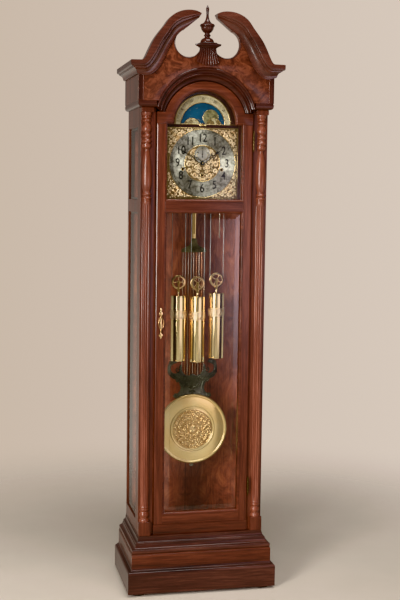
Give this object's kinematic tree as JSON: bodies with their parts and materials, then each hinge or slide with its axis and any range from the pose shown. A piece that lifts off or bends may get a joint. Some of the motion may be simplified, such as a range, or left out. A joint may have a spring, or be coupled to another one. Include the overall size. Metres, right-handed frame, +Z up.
{
  "type": "grandfather clock",
  "caption": "Floor-standing longcase clock with a swan-neck pediment, arched moon dial, full-length glazed door, cable-hung weights and a lyre pendulum.",
  "frame": {"origin": "on the floor, under the middle of the clock's outer box", "axes": "+Z up, the dial faces -Y, +X to the right of a person who faces the dial"},
  "size_m": [0.5636, 0.35, 2.156],
  "materials": {
    "cherry": "satin lacquer",
    "dark_cherry": "satin lacquer",
    "burl": "satin lacquer",
    "inner_veneer": "matt lacquer",
    "plain_wood": "bare",
    "brass": "polished",
    "aged_brass": "satin, slightly tarnished",
    "silver": "brushed",
    "black_steel": "black oxide",
    "sky_blue": "satin enamel",
    "cast_iron": "dull",
    "glass": "clear"
  },
  "bodies": {
    "case": {"base_skirt": "cherry", "waist_moulding": "cherry", "side_frame_left": "cherry", "side_frame_right": "cherry", "corner_post_left": "cherry", "corner_post_right": "cherry", "column_left": "cherry", "column_right": "cherry", "frieze_moulding_left": "cherry", "frieze_moulding_right": "cherry", "cornice_return_left": "cherry", "cornice_return_right": "cherry", "sill_rail": "cherry", "arch_moulding": "cherry", "swan_neck_left": "cherry", "swan_neck_right": "cherry", "finial_pedestal": "cherry", "base_band": "dark_cherry", "finial": "dark_cherry", "pediment_board": "burl", "floor_board": "inner_veneer", "back_panel": "inner_veneer", "top_board": "plain_wood", "seat_board": "plain_wood", "dial_plate": "brass", "movement": "brass", "upper_hinge": "aged_brass", "lower_hinge": "aged_brass", "left_cable": "aged_brass", "middle_cable": "aged_brass", "right_cable": "aged_brass", "chapter_ring": "silver", "chime_rods": "cast_iron", "side_glass_left": "glass", "side_glass_right": "glass"},
    "door": {"door_stile_left": "cherry", "door_stile_right": "cherry", "door_bottom_rail": "cherry", "door_middle_rail": "cherry", "door_head": "cherry", "trunk_glass": "glass", "dial_glass": "glass", "door_pull_plate": "brass"},
    "pull_drop": {"door_pull_drop": "brass"},
    "hour_hand": {"hour_hand": "black_steel"},
    "minute_hand": {"minute_hand": "black_steel"},
    "seconds_hand": {"seconds_hand": "black_steel"},
    "moon_disc": {"moon_disc": "sky_blue"},
    "pendulum": {"pendulum_rod": "aged_brass", "pendulum_bob": "brass"},
    "left_weight": {"left_weight": "brass"},
    "left_pulley": {"left_pulley": "aged_brass"},
    "middle_weight": {"middle_weight": "brass"},
    "middle_pulley": {"middle_pulley": "aged_brass"},
    "right_weight": {"right_weight": "brass"},
    "right_pulley": {"right_pulley": "aged_brass"},
    "levelling_foot_front_left": {"levelling_foot_front_left": "cast_iron"},
    "levelling_foot_front_right": {"levelling_foot_front_right": "cast_iron"},
    "levelling_foot_back_left": {"levelling_foot_back_left": "cast_iron"},
    "levelling_foot_back_right": {"levelling_foot_back_right": "cast_iron"}
  },
  "joints": [
    {"name": "door_hinge", "type": "hinge", "parent": "case", "child": "door", "pos_m": [0.1813, -0.125, 1.032], "axis": [0, 0, 1], "range_deg": [0, 105]},
    {"name": "pull_drop_swing", "type": "hinge", "parent": "door", "child": "pull_drop", "pos_m": [-0.158, -0.1303, 1.048], "axis": [-1, 0, 0], "range_deg": [0, 75]},
    {"name": "minute_hand_turn", "type": "hinge", "parent": "case", "child": "minute_hand", "pos_m": [0, -0.083, 1.594], "axis": [0, 1, 0], "continuous": true},
    {"name": "hour_hand_turn", "type": "hinge", "parent": "case", "child": "hour_hand", "pos_m": [0, -0.08, 1.594], "axis": [0, 1, 0], "continuous": true},
    {"name": "seconds_hand_turn", "type": "hinge", "parent": "case", "child": "seconds_hand", "pos_m": [0, -0.077, 1.626], "axis": [0, 1, 0], "continuous": true},
    {"name": "moon_disc_turn", "type": "hinge", "parent": "case", "child": "moon_disc", "pos_m": [0, -0.072, 1.727], "axis": [0, 1, 0], "continuous": true},
    {"name": "pendulum_swing", "type": "hinge", "parent": "case", "child": "pendulum", "pos_m": [0, 0.053, 1.556], "axis": [0, 1, 0], "range_deg": [-3, 3]},
    {"name": "left_weight_travel", "type": "slide", "parent": "case", "child": "left_weight", "axis": [0, 0, -1], "range_m": [-0.24, 0.55], "deforming": ["left_cable"]},
    {"name": "left_pulley_turn", "type": "hinge", "parent": "left_weight", "child": "left_pulley", "pos_m": [-0.073, -0.02, 1.152], "axis": [0, 1, 0], "continuous": true},
    {"name": "middle_weight_travel", "type": "slide", "parent": "case", "child": "middle_weight", "axis": [0, 0, -1], "range_m": [-0.24, 0.55], "deforming": ["middle_cable"]},
    {"name": "middle_pulley_turn", "type": "hinge", "parent": "middle_weight", "child": "middle_pulley", "pos_m": [0, -0.02, 1.147], "axis": [0, 1, 0], "continuous": true},
    {"name": "right_weight_travel", "type": "slide", "parent": "case", "child": "right_weight", "axis": [0, 0, -1], "range_m": [-0.24, 0.55], "deforming": ["right_cable"]},
    {"name": "right_pulley_turn", "type": "hinge", "parent": "right_weight", "child": "right_pulley", "pos_m": [0.073, -0.02, 1.16], "axis": [0, 1, 0], "continuous": true},
    {"name": "levelling_foot_front_left_screw", "type": "hinge", "parent": "case", "child": "levelling_foot_front_left", "pos_m": [-0.237, -0.134, 0.02], "axis": [0, 0, -1], "range_deg": [0, 2880]},
    {"name": "levelling_foot_front_right_screw", "type": "hinge", "parent": "case", "child": "levelling_foot_front_right", "pos_m": [0.237, -0.134, 0.02], "axis": [0, 0, -1], "range_deg": [0, 2880]},
    {"name": "levelling_foot_back_left_screw", "type": "hinge", "parent": "case", "child": "levelling_foot_back_left", "pos_m": [-0.237, 0.148, 0.02], "axis": [0, 0, -1], "range_deg": [0, 2880]},
    {"name": "levelling_foot_back_right_screw", "type": "hinge", "parent": "case", "child": "levelling_foot_back_right", "pos_m": [0.237, 0.148, 0.02], "axis": [0, 0, -1], "range_deg": [0, 2880]}
  ],
  "couplings": [
    {"joint": "hour_hand_turn", "follows": "minute_hand_turn", "ratio": 0.083333},
    {"joint": "moon_disc_turn", "follows": "minute_hand_turn", "ratio": 0.00070621},
    {"joint": "left_pulley_turn", "follows": "left_weight_travel", "rad_per_m": -39.526},
    {"joint": "middle_pulley_turn", "follows": "middle_weight_travel", "rad_per_m": -39.526},
    {"joint": "right_pulley_turn", "follows": "right_weight_travel", "rad_per_m": -39.526}
  ]
}
